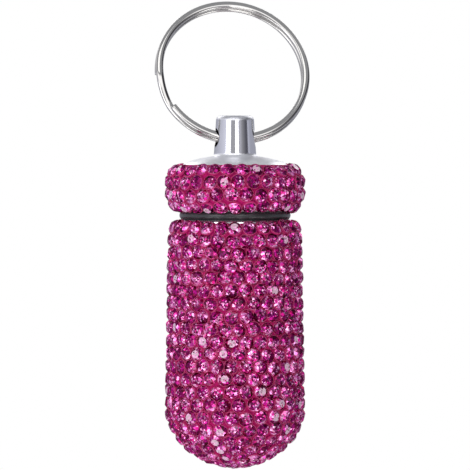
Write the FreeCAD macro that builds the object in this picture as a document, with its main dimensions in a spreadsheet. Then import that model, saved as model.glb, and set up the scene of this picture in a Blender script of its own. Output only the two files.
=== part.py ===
"""Pill fob keychain: a screw-top aluminium vial covered with set crystals, hung from a split key ring.

Z runs up the vial's axis and lengths are in millimetres. The origin is on that axis at the lowest
crystal. The cross hole in the cap's boss, which the key ring hangs in, runs along X.
"""
import FreeCAD, Part
import math
import os
import types

import Sketcher
from FreeCAD import Placement, Rotation, Vector

SIZES = {
    # crystals: six-sided stones seated on the clay in staggered rows
    "stone_sides": 6,
    "stone_across": 2.2,
    "stone_table": 1.3,
    "stone_height": 0.75,
    "stone_gap": 0.05,
    "row_spacing": 2.04,
    # vial: drawn aluminium tube with a domed end and a stepped neck
    "vial_radius": 9.0,
    "vial_wall": 1.0,
    "vial_length": 37.9,
    "vial_crown_excess": 1.2,
    "vial_knuckle_radius": 6.0,
    "edge_break": 0.25,
    "neck_radius": 6.55,
    "neck_bore_radius": 5.6,
    "neck_height": 6.7,
    # clay coat on the vial, thickest where the dome begins
    "clay_tip_thickness": 1.15,
    "clay_radius": 10.5,
    "clay_top_radius": 10.06,
    "clay_crown_excess": 0.9,
    "clay_knuckle_radius": 7.5,
    "clay_top_gap": 0.46,
    "clay_top_corner": 2.0,
    "clay_bond_gap": 0.05,
    "top_row_tilt": 30.0,
    # seal: a rubber ring squeezed between the vial's shoulder and the cap's rim
    "seal_inner_radius": 7.0,
    "seal_width": 1.9,
    "seal_height": 1.45,
    "seal_side_radius": 0.8,
    "seal_land_height": 1.2,
    "seal_fit": 0.05,
    # cap: turned aluminium with a domed top and a boss for the key ring
    "cap_radius": 9.0,
    "cap_bore_radius": 7.05,
    "cap_wall_height": 5.78,
    "cap_depth": 5.75,
    "cap_crown_radius": 26.0,
    "cap_knuckle_radius": 2.2,
    "boss_base_radius": 3.4,
    "boss_top_radius": 3.0,
    "boss_base_fillet": 0.5,
    "boss_top_fillet": 0.8,
    "hole_height": 11.63,
    "hole_radius": 1.6,
    "hole_cover": 2.0,
    # clay band on the cap
    "band_radius": 10.5,
    "band_rim_gap": 0.25,
    "band_wall_height": 4.2,
    "band_lower_corner": 2.6,
    "band_upper_corner": 2.9,
    "band_lip_tilt": 62.0,
    "band_seat_tilt": 45.0,
    "band_row_count": 4,
    "band_first_row_tilt": -45.0,
    # split ring: two turns of flat steel wire, leaning back in the boss hole
    "ring_diameter": 25.0,
    "wire_width": 1.2,
    "wire_thickness": 0.8,
    "wire_bevel": 0.2,
    "turn_gap": 0.42,
    "turn_sweep": 328.0,
    "ring_end_angle": 180.0,
    "ring_lean": 26.0,
    "ring_shift": 0.45,
}


class Size:
    """A number and the sheet expression that it comes from, so that sketches can be bound to it."""

    def __init__(self, value, text):
        self.value = value
        self.text = text

    def __add__(self, other):
        other = as_size(other)
        return Size(self.value + other.value, f"({self.text} + {other.text})")

    def __sub__(self, other):
        other = as_size(other)
        return Size(self.value - other.value, f"({self.text} - {other.text})")

    def __mul__(self, other):
        other = as_size(other)
        return Size(self.value * other.value, f"({self.text} * {other.text})")

    def __truediv__(self, other):
        other = as_size(other)
        return Size(self.value / other.value, f"({self.text} / {other.text})")


def as_size(number):
    return number if isinstance(number, Size) else Size(float(number), f"{float(number):g}")


def root(size):
    return Size(math.sqrt(size.value), f"sqrt({size.text})")


def other_leg(hypotenuse, leg):
    return root(hypotenuse * hypotenuse - leg * leg)


def cosine(size):
    return Size(math.cos(math.radians(size.value)), f"cos({size.text} * 1 deg)")


def sine(size):
    return Size(math.sin(math.radians(size.value)), f"sin({size.text} * 1 deg)")


def sheet_of_sizes(doc):
    """The driving dimensions as a spreadsheet, and the same names as Size values."""
    sheet = doc.addObject("Spreadsheet::Sheet", "Sizes")
    for row, (name, number) in enumerate(SIZES.items(), start=1):
        sheet.set(f"A{row}", name)
        sheet.set(f"B{row}", str(number))
        sheet.setAlias(f"B{row}", name)
    doc.recompute()
    return types.SimpleNamespace(**{n: Size(float(sheet.get(n)), f"Sizes.{n}") for n in SIZES})


def origin_plane(body, role):
    return next(f for f in body.Origin.OriginFeatures if f.Role == role)


def bind(sketch, kind, geometry, size):
    """A dimension on a sketch, bound to the sheet."""
    number = sketch.addConstraint(Sketcher.Constraint(kind, *geometry, size.value))
    sketch.setExpression(f"Constraints[{number}]", size.text)


def arc_between(start, end, radius):
    """A sketch arc that turns left from start to end, or right if radius is below zero."""
    if radius < 0:
        start, end, radius = end, start, -radius
    chord = end - start
    left = Vector(-chord.y, chord.x, 0).normalize()
    middle = (start + end) * 0.5 + left * math.sqrt(radius**2 - chord.Length**2 / 4)
    first = math.atan2(start.y - middle.y, start.x - middle.x)
    last = math.atan2(end.y - middle.y, end.x - middle.x)
    return Part.ArcOfCircle(Part.Circle(middle, Vector(0, 0, 1), radius), first, last)


def half_section(body, corners):
    """A closed outline in the body's XZ plane.

    Each corner is (distance from the axis, height), or those and the radius of the arc to the next
    corner, which turns left, or right for (distance, height, radius, "right"). A distance of None
    is on the axis.
    """
    sketch = body.newObject("Sketcher::SketchObject", body.Label + "_outline")
    sketch.AttachmentSupport = [(origin_plane(body, "XZ_Plane"), "")]
    sketch.MapMode = "FlatFace"
    points = [Vector(x.value if x else 0, z.value, 0) for x, z, *_ in corners]
    ends = []
    for here, corner in enumerate(corners):
        start, end = points[here], points[(here + 1) % len(points)]
        if len(corner) == 2:
            sketch.addGeometry(Part.LineSegment(start, end))
            ends.append((1, 2))
            continue
        right = len(corner) == 4
        sketch.addGeometry(arc_between(start, end, -corner[2].value if right else corner[2].value))
        ends.append((2, 1) if right else (1, 2))
    for here, corner in enumerate(corners):
        before = here - 1 if here else len(corners) - 1
        meets = (before, ends[before][1], here, ends[here][0])
        sketch.addConstraint(Sketcher.Constraint("Coincident", *meets))
    for here, (x, z, *rest) in enumerate(corners):
        corner = (here, ends[here][0])
        if x is None:
            sketch.addConstraint(Sketcher.Constraint("PointOnObject", *corner, -2))
        else:
            bind(sketch, "DistanceX", (-1, 1, *corner), x)
        bind(sketch, "DistanceY", (-1, 1, *corner), z)
        if rest:
            bind(sketch, "Radius", (here,), rest[0])
    return sketch


def turned(doc, label, corners):
    """A body turned about the Z axis."""
    body = doc.addObject("PartDesign::Body", label)
    body.Label = label
    sketch = half_section(body, corners)
    turning = body.newObject("PartDesign::Revolution", label + "_turning")
    turning.Profile = sketch
    turning.ReferenceAxis = (sketch, ["V_Axis"])
    turning.Angle = 360
    sketch.Visibility = False
    doc.recompute()
    return body


def circles_at(shape, *places):
    """The names of the level round edges at these (distance from the axis, height) places."""
    names = []
    for number, edge in enumerate(shape.Edges, start=1):
        if edge.Degenerated or not isinstance(edge.Curve, Part.Circle):
            continue
        for x, z in places:
            off = abs(edge.Curve.Radius - x.value) + abs(edge.Curve.Center.z - z.value)
            if off < 1e-3:
                names.append(f"Edge{number}")
    return names


def finish_edges(body, kind, label, size, *places):
    """A fillet or chamfer on the round edges at these places."""
    base = body.Tip
    feature = body.newObject(f"PartDesign::{kind}", f"{body.Label}_{label}")
    feature.Base = (base, circles_at(base.Shape, *places))
    feature.setExpression("Radius" if kind == "Fillet" else "Size", size.text)
    body.Document.recompute()


def crown_joint(radius, crown, knuckle):
    """Where a dome's crown arc meets its knuckle arc: how far from the axis and from the crown's centre
    along it, and how far along it the knuckle's centre is.

    The crown's radius is larger than the wall's, so that the dome is flatter than a ball.
    """
    offset = radius - knuckle
    rise = other_leg(crown - knuckle, offset)
    share = crown / (crown - knuckle)
    return offset * share, rise * share, rise


def dome(radius, crown, knuckle, tip):
    """A lower end's joint of crown and knuckle, and where the knuckle meets the wall above."""
    joint, along, rise = crown_joint(radius, crown, knuckle)
    return (joint, tip + crown - along), (radius, tip + crown - rise)


def levels(mm):
    """The heights that several pieces share."""
    vial_tip = mm.stone_height + mm.clay_tip_thickness
    shoulder = vial_tip + mm.vial_length
    rim = shoulder + mm.seal_height
    wall_top = rim + mm.cap_wall_height
    band_foot = rim + mm.band_rim_gap
    vial_coat = mm.vial_radius + mm.clay_bond_gap
    clay_top = shoulder - mm.clay_top_gap
    top_centre = mm.clay_top_radius - mm.clay_top_corner
    cap_coat = mm.cap_radius + mm.clay_bond_gap
    lower_centre = mm.band_radius - mm.band_lower_corner
    return types.SimpleNamespace(
        clay_tip=mm.stone_height,
        vial_tip=vial_tip,
        shoulder=shoulder,
        clay_wall_top=clay_top - other_leg(mm.clay_top_corner, vial_coat - top_centre),
        clay_top=clay_top,
        rim=rim,
        cap_wall_top=wall_top,
        band_foot=band_foot,
        band_wall_foot=band_foot + other_leg(mm.band_lower_corner, cap_coat - lower_centre),
        band_wall_top=band_foot + mm.band_wall_height,
        hole=rim + mm.hole_height,
        boss_top=rim + mm.hole_height + mm.hole_radius + mm.hole_cover,
    )


def vial_shell(doc, mm, at):
    """The aluminium vial: domed end, straight wall, flat shoulder, land for the seal, and open neck."""
    wall = mm.vial_wall
    crown, knuckle = mm.vial_radius + mm.vial_crown_excess, mm.vial_knuckle_radius
    inside = mm.vial_radius - wall
    outer_joint, outer_edge = dome(mm.vial_radius, crown, knuckle, at.vial_tip)
    inner_joint, inner_edge = dome(inside, crown - wall, knuckle - wall, at.vial_tip + wall)
    land = mm.seal_inner_radius - mm.seal_fit
    land_top = at.shoulder + mm.seal_land_height
    neck_top = at.shoulder + mm.neck_height
    throat = at.shoulder - wall
    body = turned(doc, "vial_shell", [
        (None, at.vial_tip, crown),
        (*outer_joint, knuckle),
        outer_edge,
        (mm.vial_radius, at.shoulder),
        (land, at.shoulder),
        (land, land_top),
        (mm.neck_radius, land_top),
        (mm.neck_radius, neck_top),
        (mm.neck_bore_radius, neck_top),
        (mm.neck_bore_radius, throat),
        (inside, throat - (inside - mm.neck_bore_radius)),
        (*inner_edge, knuckle - wall, "right"),
        (*inner_joint, crown - wall, "right"),
        (None, at.vial_tip + wall),
    ])
    finish_edges(
        body, "Chamfer", "edge_breaks", mm.edge_break,
        (mm.vial_radius, at.shoulder), (mm.neck_radius, neck_top), (mm.neck_bore_radius, neck_top),
    )
    return body


def vial_clay(doc, mm, at):
    """The clay coat that holds the vial's crystals, rounded off below the shoulder."""
    gap = mm.clay_bond_gap
    crown, knuckle = mm.clay_radius + mm.clay_crown_excess, mm.clay_knuckle_radius
    inside, inner_knuckle = mm.vial_radius + gap, mm.vial_knuckle_radius + gap
    inner_crown = inside + mm.vial_crown_excess
    outer_joint, outer_edge = dome(mm.clay_radius, crown, knuckle, at.clay_tip)
    inner_joint, inner_edge = dome(inside, inner_crown, inner_knuckle, at.vial_tip - gap)
    return turned(doc, "vial_clay", [
        (None, at.clay_tip, crown),
        (*outer_joint, knuckle),
        outer_edge,
        (mm.clay_top_radius, at.clay_wall_top, mm.clay_top_corner),
        (inside, at.clay_top),
        (*inner_edge, inner_knuckle, "right"),
        (*inner_joint, inner_crown, "right"),
        (None, at.vial_tip - gap),
    ])


def seal_ring(doc, mm, at):
    """The rubber seal, flattened where the land, the shoulder and the rim press it."""
    side = mm.seal_side_radius
    flat = mm.seal_inner_radius + mm.seal_width - (side - other_leg(side, mm.seal_height / 2))
    return turned(doc, "seal_ring", [
        (mm.seal_inner_radius, at.shoulder),
        (flat, at.shoulder, side),
        (flat, at.rim),
        (mm.seal_inner_radius, at.rim),
    ])


def cap_shell(doc, mm, at):
    """The aluminium cap: bored skirt, domed top, and a tapered boss drilled across for the ring."""
    crown, knuckle = mm.cap_crown_radius, mm.cap_knuckle_radius
    joint, along, rise = crown_joint(mm.cap_radius, crown, knuckle)
    crown_centre = at.cap_wall_top - rise
    boss_base = crown_centre + other_leg(crown, mm.boss_base_radius)
    ceiling = at.rim + mm.cap_depth
    body = turned(doc, "cap_shell", [
        (mm.cap_bore_radius, at.rim),
        (mm.cap_radius, at.rim),
        (mm.cap_radius, at.cap_wall_top, knuckle),
        (joint, crown_centre + along, crown),
        (mm.boss_base_radius, boss_base),
        (mm.boss_top_radius, at.boss_top),
        (None, at.boss_top),
        (None, ceiling),
        (mm.cap_bore_radius, ceiling),
    ])
    finish_edges(body, "Fillet", "boss_top", mm.boss_top_fillet, (mm.boss_top_radius, at.boss_top))
    finish_edges(body, "Fillet", "boss_base", mm.boss_base_fillet, (mm.boss_base_radius, boss_base))
    finish_edges(
        body, "Chamfer", "edge_breaks", mm.edge_break,
        (mm.cap_radius, at.rim), (mm.cap_bore_radius, at.rim),
    )
    solid_volume = body.Shape.Volume
    sketch = body.newObject("Sketcher::SketchObject", "cross_hole_outline")
    sketch.AttachmentSupport = [(origin_plane(body, "YZ_Plane"), "")]
    sketch.MapMode = "FlatFace"
    middle = Vector(0, at.hole.value, 0)
    sketch.addGeometry(Part.Circle(middle, Vector(0, 0, 1), mm.hole_radius.value))
    sketch.addConstraint(Sketcher.Constraint("PointOnObject", 0, 3, -2))
    bind(sketch, "DistanceY", (-1, 1, 0, 3), at.hole)
    bind(sketch, "Radius", (0,), mm.hole_radius)
    drilling = body.newObject("PartDesign::Pocket", "cross_hole")
    drilling.Profile = sketch
    drilling.Type = "Length"
    drilling.SideType = "Symmetric"
    drilling.setExpression("Length", (mm.boss_base_radius * 4).text)
    sketch.Visibility = False
    doc.recompute()
    if body.Shape.Volume > solid_volume - mm.hole_radius.value**2 * mm.boss_top_radius.value:
        raise RuntimeError("the cross hole cut too little")
    return body


def cap_clay(doc, mm, at):
    """The clay band that holds the cap's crystals, rounded over the dome's knuckle."""
    inside = mm.cap_radius + mm.clay_bond_gap
    upper, seat = mm.band_upper_corner, mm.cap_knuckle_radius + mm.clay_bond_gap
    lip = mm.band_radius - upper + upper * cosine(mm.band_lip_tilt)
    lip_height = at.band_wall_top + upper * sine(mm.band_lip_tilt)
    seat_end = inside - seat + seat * cosine(mm.band_seat_tilt)
    seat_height = at.cap_wall_top + seat * sine(mm.band_seat_tilt)
    return turned(doc, "cap_clay", [
        (inside, at.band_foot, mm.band_lower_corner),
        (mm.band_radius, at.band_wall_foot),
        (mm.band_radius, at.band_wall_top, upper),
        (lip, lip_height),
        (seat_end, seat_height, seat, "right"),
        (inside, at.cap_wall_top),
    ])


def straight(start, end):
    """A straight stretch of a clay coat's half section: its length and (radius, height, tilt) along it."""
    length = math.dist(start, end)
    tilt = math.degrees(math.atan((end[0] - start[0]) / (start[1] - end[1])))

    def place(run):
        share = run / length
        return (
            start[0] + (end[0] - start[0]) * share,
            start[1] + (end[1] - start[1]) * share,
            tilt,
        )
    return length, place


def bend(centre, radius, first_tilt, last_tilt):
    """A round stretch of a half section, from one tilt of the surface to another, in degrees."""
    turn = last_tilt - first_tilt
    length = radius * math.radians(abs(turn))

    def place(run):
        tilt = first_tilt + turn * run / length
        slope = math.radians(tilt)
        return centre[0] + radius * math.cos(slope), centre[1] + radius * math.sin(slope), tilt
    return length, place


def station(path, run):
    """The (radius, height, tilt) at a run along a path of stretches."""
    for length, place in path[:-1]:
        if run <= length:
            return place(run)
        run -= length
    return path[-1][1](run)


def vial_rows(mm, at):
    """Row places from the vial's top down to the crystal at its tip, evenly spaced."""
    crown_size = mm.clay_radius + mm.clay_crown_excess
    joint, edge = dome(mm.clay_radius, crown_size, mm.clay_knuckle_radius, at.clay_tip)
    corner, knuckle, crown = mm.clay_top_corner.value, mm.clay_knuckle_radius.value, crown_size.value
    wall_top = (mm.clay_top_radius.value, at.clay_wall_top.value)
    wall_foot = (edge[0].value, edge[1].value)
    joint_tilt = -math.degrees(math.acos(joint[0].value / crown))
    path = [
        bend((wall_top[0] - corner, wall_top[1]), corner, mm.top_row_tilt.value, 0),
        straight(wall_top, wall_foot),
        bend((wall_foot[0] - knuckle, wall_foot[1]), knuckle, 0, joint_tilt),
        bend((0, at.clay_tip.value + crown), crown, joint_tilt, -90),
    ]
    total = sum(length for length, _ in path)
    steps = round(total / mm.row_spacing.value)
    return [station(path, total * step / steps) for step in range(steps + 1)]


def band_rows(mm, at):
    """Row places on the cap's clay band, from its lower corner up."""
    lower, upper = mm.band_lower_corner.value, mm.band_upper_corner.value
    radius = mm.band_radius.value
    low, high = at.band_wall_foot.value, at.band_wall_top.value
    path = [
        bend((radius - lower, low), lower, mm.band_first_row_tilt.value, 0),
        straight((radius, low), (radius, high)),
        bend((radius - upper, high), upper, 0, 90),
    ]
    return [station(path, row * mm.row_spacing.value) for row in range(int(mm.band_row_count.value))]


def crystal(doc, mm):
    """One stone: a many-sided blank whose drafted sides leave a flat table, its back at height 0."""
    body = doc.addObject("PartDesign::Body", "stone")
    blank = body.newObject("PartDesign::AdditivePrism", "stone_blank")
    blank.Polygon = int(mm.stone_sides.value)
    blank.setExpression("Circumradius", (mm.stone_across / 2).text)
    blank.setExpression("Height", mm.stone_height.text)
    doc.recompute()
    faces = {f"Face{n}": face.normalAt(0, 0).z for n, face in enumerate(blank.Shape.Faces, start=1)}
    crown = body.newObject("PartDesign::Draft", "stone_crown")
    crown.Base = (blank, [name for name, up in faces.items() if abs(up) < 0.5])
    crown.NeutralPlane = (blank, [name for name, up in faces.items() if up < -0.5])
    inset = (mm.stone_across - mm.stone_table) / 2 * cosine(as_size(180) / mm.stone_sides)
    crown.setExpression("Angle", f"atan({(inset / mm.stone_height).text})")
    doc.recompute()
    return body


def crystal_rows(doc, mm, prefix, stone, rows):
    """Rows of stones round the Z axis, every second row half a step on, each row one object.

    The rows are numbered from the lowest up. A row has as many stones as leave the gap between their
    corners, but no more than fit at the top of the vial's wall, so that the columns of a straight
    wall stay in line. A row no wider than a stone is one stone.
    """
    objects = []
    half_step = (mm.stone_across.value + mm.stone_gap.value) / 2
    across = Vector(0, 1, 0)
    upwards = sorted(rows, key=lambda row: row[1])
    for number, (radius, height, tilt) in enumerate(upwards, start=1):
        slope = math.radians(tilt)
        nearest = min(radius, mm.clay_top_radius.value)
        count = int(math.pi / math.atan2(half_step, nearest)) if nearest > half_step else 1
        step = 360 / count
        out = Vector(math.cos(slope), 0, math.sin(slope))
        seat = Placement(Vector(radius, 0, height), Rotation(across, out.cross(across), out, "ZXY"))
        stones = []
        for place in range(count):
            turn = Rotation(Vector(0, 0, 1), step * (place + number % 2 / 2))
            one = stone.Shape.copy()
            one.Placement = Placement(Vector(), turn) * seat
            stones.append(one)
        row = doc.addObject("Part::Feature", f"{prefix}_row_{number:02d}")
        row.Label = f"{prefix}_row_{number:02d}"
        row.Shape = Part.makeCompound(stones)
        objects.append(row)
    return objects


def arc_from(start, direction, end):
    """The arc that leaves start in a direction and ends at end."""
    chord = end - start
    along = Vector(chord).normalize()
    side = direction - along * direction.dot(along)
    half_turn = math.acos(max(-1.0, min(1.0, direction.dot(along))))
    rise = chord.Length / 2 * math.tan(half_turn / 2)
    return Part.Arc(start, start + chord * 0.5 + side.normalize() * rise, end)


def biarc(start, start_direction, end, end_direction):
    """Two arcs in line with each other and with both directions."""
    chord = end - start
    both = start_direction + end_direction
    bend_share = 2 * (1 - start_direction.dot(end_direction))
    reach = chord.dot(both)
    run = (math.sqrt(reach**2 + bend_share * chord.dot(chord)) - reach) / bend_share
    joint = (start + start_direction * run + end - end_direction * run) * 0.5
    direction = (end - end_direction * run - start - start_direction * run).normalize()
    return [arc_from(start, start_direction, joint), arc_from(joint, direction, end)]


def ring_path(mm):
    """The split ring's wire, seen from the front: one turn at the back, a crossing, one turn in front.

    The ring stands in the XZ plane about the origin. Each turn is four arcs.
    """
    radius = (mm.ring_diameter.value - mm.wire_width.value) / 2
    pitch = mm.wire_thickness.value + mm.turn_gap.value
    sweep = mm.turn_sweep.value

    def point(angle, depth):
        turn = math.radians(angle)
        return Vector(radius * math.cos(turn), depth, radius * math.sin(turn))

    def direction(angle):
        turn = math.radians(angle)
        return Vector(math.sin(turn), 0, -math.cos(turn))

    def flat_turn(first, depth):
        quarter = sweep / 4
        starts = [first - quarter * n for n in range(4)]
        return [
            Part.Arc(point(a, depth), point(a - quarter / 2, depth), point(a - quarter, depth))
            for a in starts
        ]

    first = mm.ring_end_angle.value
    back, front = pitch / 2, -pitch / 2
    leaves, joins = first - sweep, first - 360
    crossing = biarc(point(leaves, back), direction(leaves), point(joins, front), direction(joins))
    return flat_turn(first, back) + crossing + flat_turn(joins, front)


def wire_section(mm, start, direction, outward):
    """The wire's flat section with bevelled edges, square to its path."""
    width, thick, bevel = mm.wire_width.value / 2, mm.wire_thickness.value / 2, mm.wire_bevel.value
    across = direction.cross(outward)
    corners = []
    for side, face in ((1, 1), (-1, 1), (-1, -1), (1, -1)):
        near_side = start + outward * (side * width) + across * (face * (thick - bevel))
        near_face = start + outward * (side * (width - bevel)) + across * (face * thick)
        corners += [near_side, near_face] if side == face else [near_face, near_side]
    return Part.makePolygon(corners + corners[:1])


def least_gap(mm, path, samples=40):
    """The least gap between parts of the wire that are over half a turn apart along it."""
    half_width, half_thick = mm.wire_width.value / 2, mm.wire_thickness.value / 2
    skin, run = [], 0
    for arc in path:
        edge = arc.toShape()
        for n in range(samples):
            share = n / samples
            middle = edge.valueAt(edge.FirstParameter + share * (edge.LastParameter - edge.FirstParameter))
            outward = Vector(middle.x, 0, middle.z).normalize()
            for side in (-1, 0, 1):
                for face in (-1, 1):
                    place = middle + outward * (side * half_width) + Vector(0, face * half_thick, 0)
                    skin.append((run + share * edge.Length, place))
        run += edge.Length
    apart = math.pi * mm.ring_diameter.value / 2
    return min(
        a.distanceToPoint(b)
        for n, (run_a, a) in enumerate(skin)
        for run_b, b in skin[n + 1:]
        if run_b - run_a > apart
    )


def split_ring(doc, mm, at):
    """The key ring: one unbroken wire of two turns, hung a little off centre in the boss hole."""
    path = ring_path(mm)
    wire = Part.Wire([arc.toShape() for arc in path])
    first = path[0].toShape()
    start, direction = (ask(first.FirstParameter) for ask in (first.valueAt, first.tangentAt))
    outward = Vector(start.x, 0, start.z)
    radius = outward.Length
    section = wire_section(mm, start, direction, outward.normalize())
    ring = doc.addObject("Part::Feature", "split_ring")
    ring.Label = "split_ring"
    ring.Shape = wire.makePipeShell([section], True, False)
    sag = radius - math.sqrt(radius**2 - mm.boss_base_radius.value**2)
    lean = Rotation(Vector(1, 0, 0), -mm.ring_lean.value)
    hang = Placement(Vector(mm.ring_shift.value, 0, at.hole.value), lean)
    ring.Placement = hang * Placement(Vector(0, 0, radius - sag / 2), Rotation())
    print(f"split ring: least gap to itself {least_gap(mm, path):.2f} mm, length {wire.Length:.1f} mm")
    return ring


def write_parts(doc, pieces):
    """Check every object, then write each piece to its own file."""
    doc.recompute()
    for made in doc.Objects:
        if {"Invalid", "Error"} & set(made.State):
            raise RuntimeError(f"{made.Label} failed: {made.State}")
    for piece in pieces:
        if piece.Shape.isNull() or not piece.Shape.isValid():
            raise RuntimeError(f"{piece.Label} has no valid shape")
    os.makedirs("parts", exist_ok=True)
    for piece in pieces:
        piece.Shape.exportStep(f"parts/{piece.Label}.step")
        print(f"{piece.Label}: {len(piece.Shape.Solids)} solids, {piece.Shape.Volume:.1f} mm3")


document = FreeCAD.newDocument("pill_fob_keychain")
sizes = sheet_of_sizes(document)
heights = levels(sizes)
gem = crystal(document, sizes)
write_parts(document, [
    vial_shell(document, sizes, heights),
    vial_clay(document, sizes, heights),
    *crystal_rows(document, sizes, "vial_crystals", gem, vial_rows(sizes, heights)),
    seal_ring(document, sizes, heights),
    cap_shell(document, sizes, heights),
    cap_clay(document, sizes, heights),
    *crystal_rows(document, sizes, "cap_crystals", gem, band_rows(sizes, heights)),
    split_ring(document, sizes, heights),
])
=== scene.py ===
"""Pill fob keychain: a screw-top aluminium vial set with crystals, on a split key ring.

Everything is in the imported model's frame: Z runs up the vial's axis, X along the hole in the cap's
boss, and -Y faces the front. The part's sizes are in millimetres, scaled to metres by MM.
"""
import math
import random

import bmesh
import bpy
from mathutils import Matrix, Vector


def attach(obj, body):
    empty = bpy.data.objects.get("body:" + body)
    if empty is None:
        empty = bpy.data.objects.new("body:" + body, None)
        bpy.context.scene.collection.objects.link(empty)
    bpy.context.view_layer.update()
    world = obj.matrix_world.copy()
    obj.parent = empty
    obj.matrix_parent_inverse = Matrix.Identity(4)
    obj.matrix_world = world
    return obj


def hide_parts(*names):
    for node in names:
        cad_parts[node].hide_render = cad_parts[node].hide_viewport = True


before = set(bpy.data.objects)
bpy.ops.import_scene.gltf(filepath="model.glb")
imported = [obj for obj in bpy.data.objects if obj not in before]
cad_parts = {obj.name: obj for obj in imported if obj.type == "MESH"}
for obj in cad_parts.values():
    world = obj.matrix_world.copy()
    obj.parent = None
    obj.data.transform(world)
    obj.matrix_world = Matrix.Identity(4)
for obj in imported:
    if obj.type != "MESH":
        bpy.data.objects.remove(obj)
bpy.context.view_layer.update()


# Vial: a drawn aluminium tube with a domed end, turned to a flat shoulder, a land for the seal and
# an open neck. Closed, only the shoulder's edge shows; the neck and the bore show once it is open.
MM = 0.001
ALUMINIUM = (0.83, 0.83, 0.86, 1)
ALUMINIUM_DULL = (0.70, 0.70, 0.74, 1)
THREAD_PITCH, THREAD_TURNS = 1, 4.1


class Shade:
    """A socket among a material's nodes. Arithmetic on it adds Math nodes."""

    def __init__(self, tree, socket=None):
        self.tree = tree
        self.socket = socket

    def node(self, kind, settings, inputs, output=0):
        """A new node's output: the settings are set first, then the sockets' values or links."""
        made = self.tree.nodes.new("ShaderNode" + kind)
        for name, setting in settings.items():
            if name == "stops":
                first, *middle, last = setting
                ramp = made.color_ramp.elements
                ramp[0].position, ramp[0].color = first
                ramp[1].position, ramp[1].color = last
                for place, colour in middle:
                    ramp.new(place).color = colour
            else:
                setattr(made, name, setting)
        for name, value in inputs.items():
            if isinstance(value, Shade):
                self.tree.links.new(value.socket, made.inputs[name])
            else:
                made.inputs[name].default_value = value
        return Shade(self.tree, made.outputs[output] if made.outputs else None)

    def siblings(self):
        """All outputs of the node that this socket belongs to."""
        return [Shade(self.tree, socket) for socket in self.socket.node.outputs]

    def maths(self, operation, *terms):
        return self.node("Math", {"operation": operation}, dict(enumerate(terms)))

    def __add__(self, other):
        return self.maths("ADD", self, other)

    def __radd__(self, other):
        return self.maths("ADD", other, self)

    def __sub__(self, other):
        return self.maths("SUBTRACT", self, other)

    def __rsub__(self, other):
        return self.maths("SUBTRACT", other, self)

    def __mul__(self, other):
        return self.maths("MULTIPLY", self, other)

    def __rmul__(self, other):
        return self.maths("MULTIPLY", other, self)

    def __pow__(self, other):
        return self.maths("POWER", self, other)

    def __gt__(self, other):
        return self.maths("GREATER_THAN", self, other)


def finish(name, sockets):
    """A material whose Principled shader takes the sockets that a function of its nodes gives."""
    material = bpy.data.materials.new(name)
    material.use_nodes = True
    material.node_tree.nodes.clear()
    shade = Shade(material.node_tree)
    surface = shade.node("BsdfPrincipled", {}, sockets(shade))
    shade.node("OutputMaterial", {}, {"Surface": surface})
    return material


def dress(node, material):
    """Give a CAD node that is shown as it is its finish."""
    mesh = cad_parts[node].data
    mesh.materials.clear()
    mesh.materials.append(material)


def build(name, points, faces, material):
    """A new piece from its corners, in metres, and its faces."""
    mesh = bpy.data.meshes.new(name)
    mesh.from_pydata(points, [], faces)
    mesh.materials.append(material)
    piece = bpy.data.objects.new(name, mesh)
    bpy.context.scene.collection.objects.link(piece)
    return piece


def blend_colours(shade, share, first, second):
    return shade.node("Mix", {"data_type": "RGBA"}, {0: share, 6: first, 7: second}, 2)


def object_place(shade):
    return shade.node("TexCoord", {}, {}, "Object")


def axis_distance(shade):
    """Where a point is: its distance from the vial's axis and its height, in metres."""
    x, y, z = shade.node("SeparateXYZ", {}, {"Vector": object_place(shade)}).siblings()
    return (x * x + y * y) ** 0.5, z


def mottle(shade, per_metre, detail):
    return shade.node("TexNoise", {}, {
        "Vector": object_place(shade), "Scale": per_metre, "Detail": detail})


def lathe_lines(shade, per_metre):
    """The fine lines that a turning tool leaves round the axis."""
    radius, height = axis_distance(shade)
    return shade.node("TexNoise", {"noise_dimensions": "1D"}, {
        "W": (radius + height) * per_metre, "Detail": 3})


def relief(shade, height, strength, depth):
    """A bumped normal, with the depth in millimetres."""
    return shade.node("Bump", {}, {"Strength": strength, "Distance": depth * MM, "Height": height})


def turned_aluminium(shade):
    rings = lathe_lines(shade, 9000)
    cloud = mottle(shade, 420, 4)
    return {
        "Base Color": blend_colours(shade, cloud, ALUMINIUM, ALUMINIUM_DULL),
        "Metallic": 1,
        "Roughness": 0.1 + 0.14 * rings + 0.08 * cloud,
        "Normal": relief(shade, rings, 0.12, 0.02),
    }


def screw_thread(name, root, crest, foot):
    """A right-hand ridge that winds up from its foot and fades out at both ends.

    The root and the crest are radii. A crest inside its root makes a thread for a bore.
    """
    per_turn = 72
    half_root, half_crest = 0.3, 0.11
    fade_rate, thinnest = 3, 0.2
    points, faces = [], []
    count = int(per_turn * THREAD_TURNS)
    for step in range(count + 1):
        angle = 2 * math.pi * step / per_turn
        fade = min(1, step / per_turn * fade_rate, (count - step) / per_turn * fade_rate)
        top = root + (crest - root) * fade
        height = foot + THREAD_PITCH * step / per_turn
        for radius, offset in ((root, -half_root), (top, -half_crest), (top, half_crest), (root, half_root)):
            up = height + offset * max(fade, thinnest)
            points.append(Vector((radius * math.cos(angle), radius * math.sin(angle), up)) * MM)
    for step in range(count):
        for side in range(3):
            a = 4 * step + side
            faces.append((a, a + 4, a + 5, a + 1) if crest > root else (a, a + 1, a + 5, a + 4))
    ridge = build(name, points, faces, aluminium)
    ridge.data.shade_smooth()
    return ridge


aluminium = finish("turned_aluminium", turned_aluminium)
dress("vial_shell", aluminium)
neck_thread = screw_thread("neck_thread", root=6.54, crest=6.92, foot=41.9)
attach(neck_thread, "vial")


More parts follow.
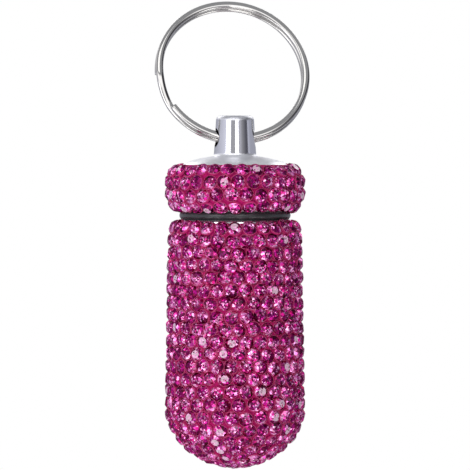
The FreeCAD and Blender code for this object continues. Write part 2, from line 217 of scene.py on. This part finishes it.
# Clay on the vial: two-part epoxy clay rolled on by hand, about 1.5 mm thick, pink-red all through.
# The stones are pushed in while it is soft, so a thin rim of clay stands up round each of them.
CLAY_DEEP = (0.27, 0.003, 0.08, 1)
CLAY = (0.59, 0.011, 0.158, 1)
# A paler colour painted on the rims' crests as a highlight, where the clay itself is the same pink-red.
CLAY_RIM_HIGHLIGHT = (0.7, 0.19, 0.335, 1)
# Rows run in three waves round the vial, each row's a little further on than the last one's.
WAVE, WAVES, WAVE_STEP, WAVE_START = 0.16, 3, 0.8, -1.9
SIDE_SLIP, ROW_SLIP, DEEPEST, PROUDEST = 0.07, 0.08, -0.08, 0.02
LEAN_DEGREES, SIZE_SPREAD = 5, 0.015
# A rim from its inner foot to its outer one: radius, height and share of the painted highlight colour, most
# on the crest.
RIM = ((1.1, 0.08, 0.1), (1.15, 0.24, 0.6), (1.175, 0.27, 1.0), (1.205, 0.2, 0.2), (1.3, -0.12, 0.0))
RIM_CORNERS = 18


def stone_seats(row):
    """The seats of a row's stones, read from its CAD node: middle of the back, Z out of the clay.

    A seat's scale is the stone's size. Rows wander, and no stone is quite in line, square or alike.
    """
    hand = random.Random(row)
    cut = bmesh.new()
    cut.from_mesh(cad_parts[row].data)
    bmesh.ops.remove_doubles(cut, verts=cut.verts, dist=0.001 * MM)
    seats, seen = [], set()
    for first in cut.verts:
        if first in seen:
            continue
        seen.add(first)
        stone = [first]
        for corner in stone:
            for edge in corner.link_edges:
                other = edge.other_vert(corner)
                if other not in seen:
                    seen.add(other)
                    stone.append(other)
        places = [corner.co.copy() for corner in stone]
        middle = sum(places, Vector()) / len(places)
        places.sort(key=lambda place: (place - middle).length)
        half = len(places) // 2
        table = sum(places[:half], Vector()) / half
        back = sum(places[half:], Vector()) / half
        square = Matrix.Translation(back) @ (table - back).to_track_quat("Z", "Y").to_matrix().to_4x4()
        wander = WAVE * math.sin(WAVES * math.atan2(back.y, back.x) + WAVE_STEP * int(row[-2:]) + WAVE_START)
        slip = Vector((
            hand.gauss(0, SIDE_SLIP), hand.gauss(wander, ROW_SLIP), hand.uniform(DEEPEST, PROUDEST)))
        lean = Matrix.Rotation(math.radians(hand.gauss(0, LEAN_DEGREES)), 4, "X")
        lean @= Matrix.Rotation(math.radians(hand.gauss(0, LEAN_DEGREES)), 4, "Y")
        size = Matrix.Scale(hand.gauss(1, SIZE_SPREAD), 4)
        seats.append(square @ Matrix.Translation(slip * MM) @ lean @ size)
    cut.free()
    return seats


def clay_rims(name, rows, body):
    """The raised rims round the stones of these rows, as one piece."""
    hand = random.Random(name)
    points, faces, rise = [], [], []
    steps = len(RIM)
    for seat in (seat for row in rows for seat in stone_seats(row)):
        start = len(points)
        lift, skew = hand.uniform(-0.05, 0.05), hand.uniform(0, 2 * math.pi)
        for n in range(RIM_CORNERS):
            angle = 2 * math.pi * n / RIM_CORNERS
            thick = 0.02 * math.cos(angle - skew) + hand.uniform(-0.012, 0.012)
            high = lift + 0.04 * math.cos(2 * angle - skew)
            for step, (radius, height, share) in enumerate(RIM):
                out = radius + (thick if step else 0)
                up = height + (high if 0 < step < steps - 1 else 0)
                points.append(seat @ (Vector((out * math.cos(angle), out * math.sin(angle), up)) * MM))
                # Each corner keeps its share of the painted rim highlight.
                rise.append(share)
        for n in range(RIM_CORNERS):
            here, there = start + n * steps, start + (n + 1) % RIM_CORNERS * steps
            for step in range(steps - 1):
                faces.append((here + step + 1, there + step + 1, there + step, here + step))
    rims = build(name, points, faces, epoxy_clay)
    rims.data.attributes.new("rise", "FLOAT", "POINT").data.foreach_set("value", rise)
    rims.data.shade_smooth()
    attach(rims, body)


def clay(shade):
    rise = shade.node("Attribute", {"attribute_name": "rise"}, {}, "Fac")
    patches = mottle(shade, 900, 4)
    grain = mottle(shade, 6000, 3)
    body = blend_colours(shade, patches, CLAY_DEEP, CLAY)
    return {
        # Painted highlight: the rims blend towards the paler colour by their share, most on the crests.
        "Base Color": blend_colours(shade, rise * (0.35 + 0.75 * patches), body, CLAY_RIM_HIGHLIGHT),
        "Roughness": 0.4 + 0.25 * grain,
        "Specular IOR Level": 0.06,
        "Normal": relief(shade, grain, 0.35, 0.05),
    }


VIAL_ROWS = sorted(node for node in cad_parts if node.startswith("vial_crystals"))
epoxy_clay = finish("epoxy_clay", clay)
dress("vial_clay", epoxy_clay)
clay_rims("vial_clay_rims", VIAL_ROWS, "vial")


# Crystals: pointed-back fuchsia glass stones of about 2 mm, cut with a table, stars, kites and girdle
# facets over a foiled back. Each is pressed into the clay to its girdle, none quite square.
# The upper stops of the stone colours are painted light: bright pink to white-pink for painted glints in
# small specks, then pale greys for the painted flash of a softbox reflected on a stone's table.
PAINTED_GLINT_FROM, PAINTED_GLINT_WHITEST, PAINTED_FLASH_FROM = 0.82, 0.88, 0.91
STONE_COLOURS = [
    (0.0, (0.18, 0.003, 0.08, 1)),
    (0.35, (0.38, 0.006, 0.16, 1)),
    (0.7, (0.64, 0.045, 0.33, 1)),
    (PAINTED_GLINT_FROM, (1.0, 0.32, 0.7, 1)),
    (PAINTED_GLINT_WHITEST, (1.0, 0.55, 0.82, 1)),
    (PAINTED_FLASH_FROM, (0.56, 0.38, 0.46, 1)),
    (1.0, (0.74, 0.53, 0.63, 1)),
]
DEEPEST_TONE, BRIGHTEST_TONE = 0, 0.75
# Shares of the stones, and of their table facets, that get the painted pale flash.
PAINTED_FLASH_STONES, PAINTED_FLASH_FACETS = 0.13, 0.88
SPECKS_PER_METRE = 3400
PAINTED_GLINT_ABOVE, PAINTED_FLASH_ABOVE = 1.18, 0.9


def foiled_glass(shade):
    """Each facet has a tone and a foil behind it, which breaks its reflections up into small specks. Some
    specks get painted glints in their colour, and some tables a painted pale flash.
    """
    foil = shade.node("Attribute", {"attribute_name": "foil"}, {}, "Vector")
    tone = shade.node("Attribute", {"attribute_name": "tone"}, {}, "Fac")
    speck = shade.node("TexVoronoi", {}, {
        "Vector": object_place(shade), "Scale": SPECKS_PER_METRE}, "Color")
    spark, hue, white = shade.node("SeparateColor", {}, {"Color": speck}).siblings()
    # Painted flash: the highest tones are pale greys, mottled a little, for a softbox reflected on a stone's
    # table. They are not metallic.
    painted_flash = tone > PAINTED_FLASH_ABOVE
    # Painted glints: random specks, more often on brighter facets, take bright pink to white-pink colours.
    painted_glint = (spark + 0.9 * tone > PAINTED_GLINT_ABOVE) * (1 - painted_flash)
    painted_glint_tone = PAINTED_GLINT_FROM + (PAINTED_GLINT_WHITEST - PAINTED_GLINT_FROM) * white ** 2
    stray = shade.node("VectorMath", {"operation": "SUBTRACT"}, {0: speck, 1: (0.5, 0.5, 0.5)})
    bent = shade.node("VectorMath", {"operation": "MULTIPLY_ADD"}, {0: stray, 1: 0.16 + 0.08 * painted_glint, 2: foil})
    to_world = {"vector_type": "NORMAL", "convert_from": "OBJECT", "convert_to": "WORLD"}
    colour = shade.node("ValToRGB", {"stops": STONE_COLOURS}, {
        "Fac": tone + painted_glint * (painted_glint_tone - tone) - 0.12 * painted_flash * spark ** 3})
    return {
        "Base Color": shade.node("HueSaturation", {}, {"Hue": 0.53 - 0.05 * hue, "Color": colour}),
        "Metallic": 0.95 * (1 - painted_flash) * (1 - 0.2 * painted_glint),
        "Specular Tint": (0.45, 0.1, 0.3, 1),
        "Roughness": 0.14,
        "Normal": shade.node("VectorTransform", to_world, {"Vector": bent}),
        "Coat Weight": 0.12,
        "Coat IOR": 1.6,
        "Coat Roughness": 0.02,
    }


def cut_stone():
    """One stone's corners, in millimetres, and its facets: corners, stray of the foil, on the table."""
    girdle, crown, table, heart = 1.15, 0.94, 0.65, 0.33
    back_tip, girdle_foot, girdle_top, crown_height, table_height = -0.6, 0.17, 0.24, 0.5, 0.72
    crown_stray, star_stray, table_stray = 0.2, 0.3, 0.45
    eighth = math.pi / 8
    corners = [Vector((0, 0, back_tip)), Vector((0, 0, table_height))]

    def ring(radius, height, count, offset):
        start = len(corners)
        for n in range(count):
            angle = 2 * math.pi * n / count + offset
            corners.append(Vector((radius * math.cos(angle), radius * math.sin(angle), height)))
        return [start + n for n in range(count)] * 2

    low = ring(girdle, girdle_foot, 16, 0)
    rim = ring(girdle, girdle_top, 16, 0)
    mid = ring(crown, crown_height, 8, eighth)
    top = ring(table, table_height, 8, 0)
    core = ring(heart, table_height, 8, eighth)
    facets = []
    for n in range(16):
        facets.append(((low[n + 1], low[n], 0), 0, False))
        facets.append(((low[n], low[n + 1], rim[n + 1], rim[n]), 0, False))
    for n in range(8):
        left, right = rim[2 * n], rim[2 * n + 2]
        facets.append(((left, rim[2 * n + 1], mid[n]), crown_stray, False))
        facets.append(((rim[2 * n + 1], right, mid[n]), crown_stray, False))
        facets.append(((right, mid[n + 1], top[n + 1], mid[n]), crown_stray, False))
        facets.append(((top[n], mid[n], top[n + 1]), star_stray, False))
        facets.append(((top[n], top[n + 1], core[n]), table_stray, True))
        facets.append(((core[n], top[n + 1], core[n + 1]), table_stray, True))
        facets.append(((core[n], core[n + 1], 1), table_stray, True))
    return corners, facets


def set_stones(name, row, body):
    """A row's stones as one piece, which stands for its CAD node."""
    corners, facets = cut_stone()
    hand = random.Random(name)
    points, faces, foil, tone = [], [], [], []
    painted_flash_stone = False
    for seat in stone_seats(row):
        start = len(points)
        spin = Matrix.Rotation(hand.uniform(0, 2 * math.pi), 4, "Z")
        placed = [seat @ spin @ (corner * MM) for corner in corners]
        points += placed
        depth = hand.uniform(-0.12, 0.12)
        bright_side = hand.uniform(0, 2 * math.pi)
        # About one stone in eight, never two in a row, gets a painted pale flash over most of its table
        # facets.
        painted_flash_stone = hand.random() < PAINTED_FLASH_STONES and not painted_flash_stone
        for facet, stray, on_table in facets:
            faces.append([start + corner for corner in facet])
            a, b, c = (placed[corner] for corner in facet[:3])
            flat = (b - a).cross(c - a).normalized()
            if painted_flash_stone and on_table and hand.random() < PAINTED_FLASH_FACETS:
                foil.extend(flat)
                tone.append(hand.uniform(PAINTED_FLASH_FROM, 1))
                continue
            middle = sum((corners[corner] for corner in facet), Vector()) / len(facet)
            side = middle.x * math.cos(bright_side) + middle.y * math.sin(bright_side)
            foil.extend((flat + Vector([hand.gauss(0, stray) for _ in range(3)])).normalized())
            shown = hand.betavariate(1.5, 2.2) + depth + 0.3 * side
            tone.append(min(BRIGHTEST_TONE, max(DEEPEST_TONE, shown)))
    stones = build(name, points, faces, crystal)
    stones.data.attributes.new("foil", "FLOAT_VECTOR", "FACE").data.foreach_set("vector", foil)
    stones.data.attributes.new("tone", "FLOAT", "FACE").data.foreach_set("value", tone)
    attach(stones, body)
    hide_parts(row)


crystal = finish("foiled_crystal", foiled_glass)
for row in VIAL_ROWS:
    set_stones(row.replace("crystals_row", "stones"), row, "vial")


# Seal: a moulded black rubber O-ring that sits on the neck's land, squeezed flat between the vial's
# shoulder and the cap's rim.
RUBBER = (0.02, 0.02, 0.021, 1)
RUBBER_BLOOM = (0.055, 0.056, 0.058, 1)


def seal_rubber(shade):
    bloom = mottle(shade, 700, 5)
    grain = mottle(shade, 9000, 2)
    return {
        "Base Color": blend_colours(shade, bloom, RUBBER, RUBBER_BLOOM),
        "Roughness": 0.18 + 0.16 * bloom,
        "Normal": relief(shade, grain, 0.2, 0.03),
    }


dress("seal_ring", finish("seal_rubber", seal_rubber))


# Cap: turned from aluminium bar in one piece, with a threaded bore, a satin domed top and a boss that
# is polished bright, but for its top edge, and drilled across for the key ring.
SATIN_DOME = (0.93, 0.93, 0.95, 1)
BRIGHT_BOSS = (0.80, 0.80, 0.83, 1)
BRIGHT_BOSS_DULL = (0.72, 0.72, 0.76, 1)
BOSS_FOOT = (50.2 * MM, 50.6 * MM)
BOSS_TOP_EDGE = (55.6 * MM, 55.9 * MM)


def rise_between(shade, value, low, high):
    """0 below the low value, 1 above the high one, smooth between them."""
    return shade.node("MapRange", {"interpolation_type": "SMOOTHSTEP"}, {
        "Value": value, "From Min": low, "From Max": high})


def cap_metal(shade):
    _, height = axis_distance(shade)
    rings = lathe_lines(shade, 7000)
    cloud = mottle(shade, 500, 4)
    boss = rise_between(shade, height, *BOSS_FOOT)
    edge = rise_between(shade, height, *BOSS_TOP_EDGE)
    bright = blend_colours(shade, cloud, BRIGHT_BOSS, BRIGHT_BOSS_DULL)
    return {
        "Base Color": blend_colours(shade, boss, SATIN_DOME, bright),
        "Metallic": 1,
        "Roughness": 0.07 + (1 - boss) * (0.32 + 0.12 * rings) + 0.3 * edge + 0.05 * cloud,
        "Normal": relief(shade, rings, 0.1, 0.015),
    }


dress("cap_shell", finish("cap_aluminium", cap_metal))
cap_thread = screw_thread("cap_thread", root=7.06, crest=6.68, foot=42.4)
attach(cap_thread, "cap")


# Clay band and crystals on the cap: the same clay and stones as on the vial, four rows of them,
# rounded over the dome's edge and under towards the seal.
CAP_ROWS = sorted(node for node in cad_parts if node.startswith("cap_crystals"))
dress("cap_clay", epoxy_clay)
clay_rims("cap_clay_rims", CAP_ROWS, "cap")
for row in CAP_ROWS:
    set_stones(row.replace("crystals_row", "stones"), row, "cap")


# Split ring: two turns of flat spring-steel wire with rolled edges, nickel plated, pressed flat so
# that the turns lie together, with one crossing where the back turn comes round to the front.
NICKEL = (0.62, 0.605, 0.58, 1)
NICKEL_DULL = (0.52, 0.51, 0.49, 1)
RING_RADIUS, RING_PITCH = 11.9, 1.22
RING_FLAT_RUN = 328                # degrees of each turn that lie flat, before and after the crossing
RING_LEAN = 26
RING_IN_HOLE = Vector((0.45, 0, 52.88))
HOLE_TO_MIDDLE = 11.652
WIRE_THICK, WIRE_WIDE = 1.2, 0.8   # outward from the ring's middle and along its axis
WIRE_CORNERS, WIRE_SQUARENESS = 32, 2.2
WIRE_END = ((0.12, 0.72), (0.06, 0.9))   # past the end in millimetres, share of the wire's size


def nickel(shade):
    cloud = mottle(shade, 350, 4)
    scratch = mottle(shade, 1500, 2)
    return {
        "Base Color": blend_colours(shade, cloud, NICKEL, NICKEL_DULL),
        "Metallic": 1,
        "Roughness": 0.04 + 0.04 * cloud + 0.03 * scratch,
    }


def wire_outline():
    """The wire's section, as (outward, across) corners: crowned, with rolled edges."""
    corners = []
    for step in range(WIRE_CORNERS):
        angle = 2 * math.pi * step / WIRE_CORNERS
        out, across = math.cos(angle), math.sin(angle)
        swell = (abs(out) ** WIRE_SQUARENESS + abs(across) ** WIRE_SQUARENESS) ** (-1 / WIRE_SQUARENESS)
        corners.append((WIRE_THICK / 2 * out * swell, WIRE_WIDE / 2 * across * swell))
    return corners


def wound_wire():
    """The corners and faces of the wire, from its front end round to its back one."""
    outline = wire_outline()
    lean = Matrix.Rotation(math.radians(-RING_LEAN), 4, "X")
    hang = Matrix.Translation(RING_IN_HOLE) @ lean @ Matrix.Translation(Vector((0, 0, HOLE_TO_MIDDLE)))
    crossing = 360 - RING_FLAT_RUN
    sweep = 2 * RING_FLAT_RUN + crossing
    steps = sweep // 2
    stations = [(0, -past, size) for past, size in WIRE_END]
    stations += [(n / steps, 0, 1) for n in range(steps + 1)]
    stations += [(1, past, size) for past, size in reversed(WIRE_END)]
    points, faces = [], []
    for share, past, size in stations:
        run = sweep * share
        angle = math.radians(180 - run) - past / RING_RADIUS
        cross = min(1, max(0, (run - RING_FLAT_RUN) / crossing))
        depth = RING_PITCH / 2 - RING_PITCH * cross * cross * (3 - 2 * cross)
        outward = Vector((math.cos(angle), 0, math.sin(angle)))
        for out, across in outline:
            along = Vector((0, depth + across * size, 0))
            points.append(hang @ (outward * (RING_RADIUS + out * size) + along) * MM)
    around = len(outline)
    for station in range(len(stations) - 1):
        for n in range(around):
            a, b = station * around + n, station * around + (n + 1) % around
            faces.append((a, b, b + around, a + around))
    faces.append(list(range(around))[::-1])
    faces.append([len(points) - around + n for n in range(around)])
    return points, faces


key_ring = build("key_ring_wire", *wound_wire(), finish("nickel_plate", nickel))
key_ring.data.shade_smooth()
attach(key_ring, "ring")
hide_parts("split_ring")


# Studio, in metres: a white backdrop, and a pale floor well below the hanging fob. Soft lamps stand round
# it in a tent of glowing cloth that the camera looks through. The cloth is dark at the right of the camera,
# as a black card would be, which gives the metal its dark stripe.
CAMERA_AZIMUTH, CAMERA_ELEVATION = -10, 1
FOCUS = Vector((0, 0, 37.36)) * MM
VIEW_WIDTH = 75.2 * MM
LAMP_DISTANCE = 0.6
LAMPS = (
    # degrees round from the camera and up, width, height, radiance
    ("left_softbox", -39, 6, 0.26, 0.22, 2.4),
    ("right_softbox", 11, 6, 0.165, 0.22, 2.4),
    ("upper_softbox", -8, 54, 0.3, 0.16, 1.5),
    ("back_left_softbox", -150, 32, 0.3, 0.22, 1.5),
    ("back_right_softbox", 150, 32, 0.3, 0.22, 1.5),
    ("low_front_softbox", 0, -38, 0.3, 0.2, 2.1),
    ("low_left_softbox", -50, -32, 0.25, 0.2, 2.1),
    ("low_right_softbox", 50, -32, 0.25, 0.2, 2.4),
    ("low_back_softbox", 180, -32, 0.3, 0.2, 1.6),
)
TENT_RADIUS = 1.4
# The cloth's glow once round, from behind by the left, the camera at 0.5 and the right to behind again.
WALL_GLOW = [
    (0.0, (0.36, 0.37, 0.42, 1)),
    (0.11, (0.44, 0.45, 0.51, 1)),
    (0.26, (0.64, 0.65, 0.74, 1)),
    (0.38, (0.86, 0.87, 0.98, 1)),
    (0.45, (0.42, 0.42, 0.44, 1)),
    (0.50, (0.42, 0.42, 0.44, 1)),
    (0.58, (0.55, 0.55, 0.6, 1)),
    (0.62, (0.3, 0.3, 0.32, 1)),
    (0.685, (0.1, 0.1, 0.12, 1)),
    (0.712, (0.12, 0.12, 0.14, 1)),
    (0.722, (0.6, 0.61, 0.7, 1)),
    (0.765, (0.42, 0.43, 0.5, 1)),
    (1.0, (0.36, 0.37, 0.42, 1)),
]
ROOF_GLOW = [
    (0.0, (0.78, 0.79, 0.83, 1)),
    (0.07, (1.05, 1.05, 1.1, 1)),
    (0.2, (1.05, 1.05, 1.1, 1)),
    (0.27, (0.6, 0.61, 0.65, 1)),
    (0.32, (0.6, 0.61, 0.65, 1)),
    (0.37, (1.75, 1.75, 1.8, 1)),
    (0.59, (1.75, 1.75, 1.8, 1)),
    (0.62, (0.08, 0.08, 0.09, 1)),
    (0.82, (0.04, 0.04, 0.05, 1)),
    (0.87, (1.05, 1.05, 1.1, 1)),
    (0.93, (1.05, 1.05, 1.1, 1)),
    (1.0, (0.78, 0.79, 0.83, 1)),
]
PEAK_GLOW = (0.42, 0.43, 0.46, 1)
ROOF_FROM, PEAK_FROM = (0.2, 0.4), (0.56, 0.66)   # heights as shares of the tent's radius
FLOOR_HALF, FLOOR_HEIGHT = 4, -0.55


def direction(azimuth, elevation):
    a, e = math.radians(azimuth), math.radians(elevation)
    return Vector((math.sin(a) * math.cos(e), -math.cos(a) * math.cos(e), math.sin(e)))


def tent_cloth(shade):
    outward = shade.node("VectorMath", {"operation": "NORMALIZE"}, {0: object_place(shade)})
    x, y, z = shade.node("SeparateXYZ", {}, {"Vector": outward}).siblings()
    front = direction(CAMERA_AZIMUTH, 0)
    turn = shade.maths("ARCTAN2", -front.y * x + front.x * y, front.x * x + front.y * y)
    round_share = turn * (0.5 / math.pi) + 0.5
    wall = shade.node("ValToRGB", {"stops": WALL_GLOW}, {"Fac": round_share})
    upper = shade.node("ValToRGB", {"stops": ROOF_GLOW}, {"Fac": round_share})
    roof = blend_colours(shade, rise_between(shade, z, *PEAK_FROM), upper, PEAK_GLOW)
    return {
        "Base Color": (0, 0, 0, 1),
        "Specular IOR Level": 0,
        "Emission Color": blend_colours(shade, rise_between(shade, z, *ROOF_FROM), wall, roof),
        "Emission Strength": 1,
    }


def pale_floor(shade):
    cloud = shade.node("TexNoise", {}, {"Scale": 6, "Detail": 3})
    return {
        "Base Color": blend_colours(shade, cloud, (0.99, 0.99, 0.99, 1), (0.96, 0.96, 0.96, 1)),
        "Roughness": 0.8,
    }


for name, turn, up, width, height, radiance in LAMPS:
    lamp = bpy.data.lights.new(name, "AREA")
    lamp.shape = "RECTANGLE"
    lamp.size, lamp.size_y = width, height
    lamp.energy = math.pi * width * height * radiance
    softbox = bpy.data.objects.new(name, lamp)
    towards = direction(CAMERA_AZIMUTH + turn, up)
    softbox.location = FOCUS + towards * LAMP_DISTANCE
    softbox.rotation_mode = "QUATERNION"
    softbox.rotation_quaternion = towards.to_track_quat("Z", "Y")
    softbox.visible_camera = False
    bpy.context.scene.collection.objects.link(softbox)

tent_mesh = bpy.data.meshes.new("tent")
ball = bmesh.new()
bmesh.ops.create_uvsphere(ball, u_segments=48, v_segments=24, radius=TENT_RADIUS)
ball.to_mesh(tent_mesh)
ball.free()
tent_mesh.materials.append(finish("tent_cloth", tent_cloth))
tent = bpy.data.objects.new("tent", tent_mesh)
tent.location = FOCUS
tent.visible_camera = False
bpy.context.scene.collection.objects.link(tent)

backdrop = bpy.data.worlds.new("white_backdrop")
backdrop.use_nodes = True
backdrop.node_tree.nodes["Background"].inputs["Color"].default_value = (1, 1, 1, 1)
bpy.context.scene.world = backdrop

sides = ((-1, -1), (1, -1), (1, 1), (-1, 1))
floor_corners = [(x * FLOOR_HALF, y * FLOOR_HALF, FLOOR_HEIGHT) for x, y in sides]
floor = build("floor", floor_corners, [(0, 1, 2, 3)], finish("pale_floor", pale_floor))

camera = bpy.data.cameras.new("camera")
camera.lens = 500
camera.sensor_width = 36
camera.clip_start, camera.clip_end = 0.01, 10
viewer = bpy.data.objects.new("camera", camera)
away = direction(CAMERA_AZIMUTH, CAMERA_ELEVATION)
viewer.location = FOCUS + away * VIEW_WIDTH * camera.lens / camera.sensor_width
viewer.rotation_mode = "QUATERNION"
viewer.rotation_quaternion = away.to_track_quat("Z", "Y")
bpy.context.scene.collection.objects.link(viewer)
bpy.context.scene.camera = viewer
bpy.context.scene.view_settings.view_transform = "Standard"
